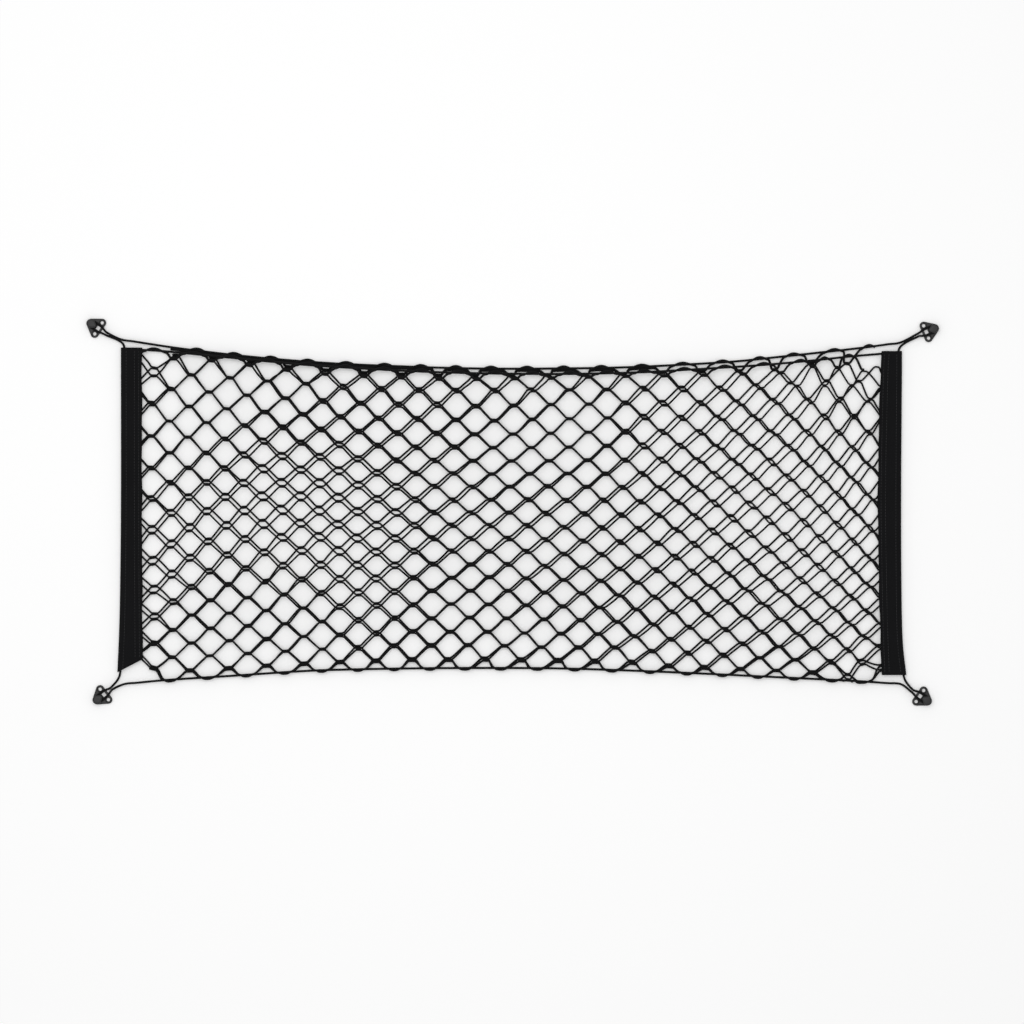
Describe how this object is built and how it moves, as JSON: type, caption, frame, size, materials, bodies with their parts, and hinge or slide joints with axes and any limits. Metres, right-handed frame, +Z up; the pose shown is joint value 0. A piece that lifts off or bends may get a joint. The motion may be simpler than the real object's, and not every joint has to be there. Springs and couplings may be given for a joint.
{
  "type": "storage net",
  "caption": "Flat envelope pocket of black knotless netting between two webbing side bands, edged with elastic cord that loops over a small screw-on anchor hook at each corner.",
  "frame": {"origin": "on the surface it lies on, under the middle of the whole net's outer box", "axes": "+X along the net's long side, +Y towards the pocket's mouth, +Z up out of the surface"},
  "size_m": [0.9795, 0.4446, 0.011],
  "materials": {
    "netting": "matte braided twine",
    "webbing": "matte woven webbing",
    "elastic": "matte braided cover",
    "hooks": "moulded, satin"
  },
  "bodies": {
    "root": {"net_back": "netting", "net_front": "netting", "band_left": "webbing", "band_right": "webbing", "cord_border": "elastic", "cord_mouth": "elastic", "hook_top_left": "hooks", "hook_bottom_left": "hooks", "hook_bottom_right": "hooks", "hook_top_right": "hooks"}
  },
  "joints": []
}
